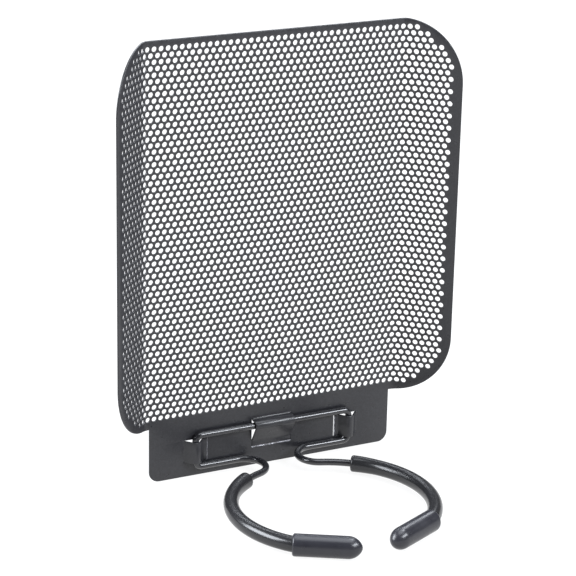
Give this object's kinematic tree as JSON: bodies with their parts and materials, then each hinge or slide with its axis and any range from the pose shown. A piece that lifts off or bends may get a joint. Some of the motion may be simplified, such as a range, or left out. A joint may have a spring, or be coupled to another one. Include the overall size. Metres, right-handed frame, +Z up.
{
  "type": "clip-on microphone screen",
  "caption": "Folded sheet of fine perforated steel with a plain tab below, held by bent tongues on a sprung wire ring with soft sleeves and domed end caps.",
  "frame": {"origin": "centre of the wire ring, in the plane of the ring's wire, on the axis of the microphone that it clips to", "axes": "+Z up along the microphone's axis, +Y from the ring towards the screen, so the ring opens towards -Y, +X to the right as seen from the ring looking at the screen"},
  "size_m": [0.1026, 0.068, 0.1252],
  "materials": {
    "screen_coat": "satin charcoal powder coat",
    "wire_coat": "glossy black coating",
    "sleeve": "smooth shiny black tubing",
    "end_cap": "satin black dipped vinyl"
  },
  "bodies": {
    "shield": {"perforated_screen": "screen_coat", "spring_wire_yoke": "wire_coat"},
    "left_arm": {"left_arm_wire": "wire_coat", "left_sleeve": "sleeve", "left_end_cap": "end_cap"},
    "right_arm": {"right_arm_wire": "wire_coat", "right_sleeve": "sleeve", "right_end_cap": "end_cap"}
  },
  "joints": [
    {"name": "left_arm_spring", "type": "hinge", "parent": "shield", "child": "left_arm", "pos_m": [-0.024, 0.03712, 0], "axis": [0, 0, -1], "range_deg": [0, 20], "stiffness_Nm_per_rad": 0.3, "springref_deg": -2.86},
    {"name": "right_arm_spring", "type": "hinge", "parent": "shield", "child": "right_arm", "pos_m": [0.024, 0.03712, 0], "axis": [0, 0, 1], "range_deg": [0, 20], "stiffness_Nm_per_rad": 0.3, "springref_deg": -2.86}
  ]
}
